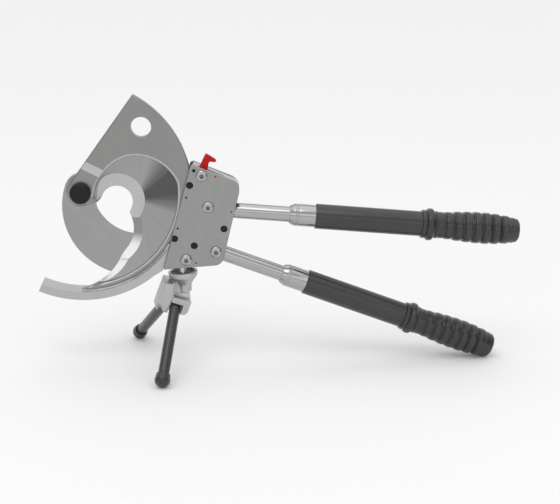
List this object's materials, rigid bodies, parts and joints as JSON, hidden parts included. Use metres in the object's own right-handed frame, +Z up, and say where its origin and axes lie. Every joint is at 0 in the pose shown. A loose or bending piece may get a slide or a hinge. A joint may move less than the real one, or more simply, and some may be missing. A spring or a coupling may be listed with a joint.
{
  "type": "ratchet cable cutter",
  "caption": "Ratchet cable cutter with a hook jaw, sickle blades, a red release lever, telescopic handles and a folding bipod.",
  "frame": {"origin": "centre of the bounding box in X and Y, on the ground that the bipod's feet and the lower grip stand on", "axes": "+X from the blades to the handles, +Y from the front cover to the rear cover, +Z up"},
  "size_m": [0.576, 0.187, 0.3289],
  "materials": {
    "blade_steel": "ground, satin",
    "cover_steel": "satin plated",
    "bright_steel": "polished",
    "black_oxide": "black oxide",
    "black_paint": "satin black",
    "rubber": "soft gloss",
    "red_paint": "satin red",
    "cast_alloy": "matt cast"
  },
  "bodies": {
    "frame": {"fixed_blade": "blade_steel", "jaw_hook": "cover_steel", "pivot_bolt": "black_oxide", "pivot_cap": "black_oxide", "pivot_washer": "bright_steel", "pivot_nut": "bright_steel", "front_cover": "cover_steel", "rear_cover": "cover_steel", "housing_frame": "cover_steel", "cover_screw_1": "bright_steel", "cover_screw_2": "bright_steel", "cover_screw_3": "bright_steel", "cover_screw_4": "bright_steel", "cover_nut_1": "bright_steel", "cover_nut_2": "bright_steel", "cover_nut_3": "bright_steel", "cover_nut_4": "bright_steel", "hold_pawl_pin": "black_oxide", "stop_pin": "black_oxide", "root_pin": "black_oxide", "blade_pin": "black_oxide", "frame_pin": "black_oxide", "release_bush": "bright_steel", "hold_pawl_spring": "bright_steel", "fixed_handle_root": "cover_steel", "lower_inner_tube": "bright_steel", "lower_stop_ring": "cover_steel", "swivel_bolt": "bright_steel"},
    "blade": {"moving_blade": "blade_steel"},
    "drive": {"drive_lever": "cover_steel", "feed_pawl_pin": "black_oxide", "feed_pawl_spring": "bright_steel", "upper_inner_tube": "bright_steel", "upper_stop_ring": "cover_steel"},
    "feed_pawl": {"feed_pawl": "black_oxide"},
    "hold_pawl": {"hold_pawl": "black_oxide"},
    "release": {"release_lever": "red_paint"},
    "upper_slide": {"upper_ferrule": "bright_steel", "upper_outer_tube": "black_paint", "upper_guard_ring": "rubber", "upper_grip": "rubber"},
    "lower_slide": {"lower_ferrule": "bright_steel", "lower_outer_tube": "black_paint", "lower_guard_ring": "rubber", "lower_grip": "rubber"},
    "bipod": {"bipod_bracket": "cast_alloy", "front_leg_pin": "bright_steel", "rear_leg_pin": "bright_steel"},
    "front_leg": {"front_leg": "black_paint", "front_foot": "rubber"},
    "rear_leg": {"rear_leg": "black_paint", "rear_foot": "rubber"}
  },
  "joints": [
    {"name": "blade_pivot", "type": "hinge", "parent": "frame", "child": "blade", "pos_m": [-0.2331, 0, 0.21545], "axis": [0, -1, 0], "range_deg": [-175, 57]},
    {"name": "drive_handle", "type": "hinge", "parent": "frame", "child": "drive", "pos_m": [-0.0852, 0, 0.19645], "axis": [0, -1, 0], "range_deg": [0, 22]},
    {"name": "feed_pawl_pivot", "type": "hinge", "parent": "drive", "child": "feed_pawl", "pos_m": [-0.1021, 0, 0.18545], "axis": [0, 1, 0], "range_deg": [0, 20], "stiffness_Nm_per_rad": 0.05, "springref_deg": -11.46},
    {"name": "release_lever_pivot", "type": "hinge", "parent": "frame", "child": "release", "pos_m": [-0.092, 0, 0.23425], "axis": [0, 1, 0], "range_deg": [0, 30], "stiffness_Nm_per_rad": 0.1, "springref_deg": -11.46},
    {"name": "hold_pawl_pivot", "type": "hinge", "parent": "frame", "child": "hold_pawl", "pos_m": [-0.1062, 0, 0.22295], "axis": [0, -1, 0], "range_deg": [0, 18]},
    {"name": "upper_telescope", "type": "slide", "parent": "drive", "child": "upper_slide", "axis": [0.9962, 0, -0.0872], "range_m": [0, 0.16]},
    {"name": "lower_telescope", "type": "slide", "parent": "frame", "child": "lower_slide", "axis": [0.9348, 0, -0.3551], "range_m": [0, 0.16]},
    {"name": "bipod_swivel", "type": "hinge", "parent": "frame", "child": "bipod", "pos_m": [-0.1167, 0, 0.11545], "axis": [-0.0663, 0, 0.9978], "range_deg": [-90, 90]},
    {"name": "front_leg_hinge", "type": "hinge", "parent": "bipod", "child": "front_leg", "pos_m": [-0.12616, -0.01311, 0.07629], "axis": [0.9233, 0.1478, -0.3544], "range_deg": [0, 46.7]},
    {"name": "rear_leg_hinge", "type": "hinge", "parent": "bipod", "child": "rear_leg", "pos_m": [-0.14189, 0.01343, 0.0684], "axis": [-0.9233, -0.1478, 0.3544], "range_deg": [0, 46.7]}
  ],
  "couplings": [
    {"joint": "hold_pawl_pivot", "follows": "release_lever_pivot", "ratio": 0.6}
  ]
}
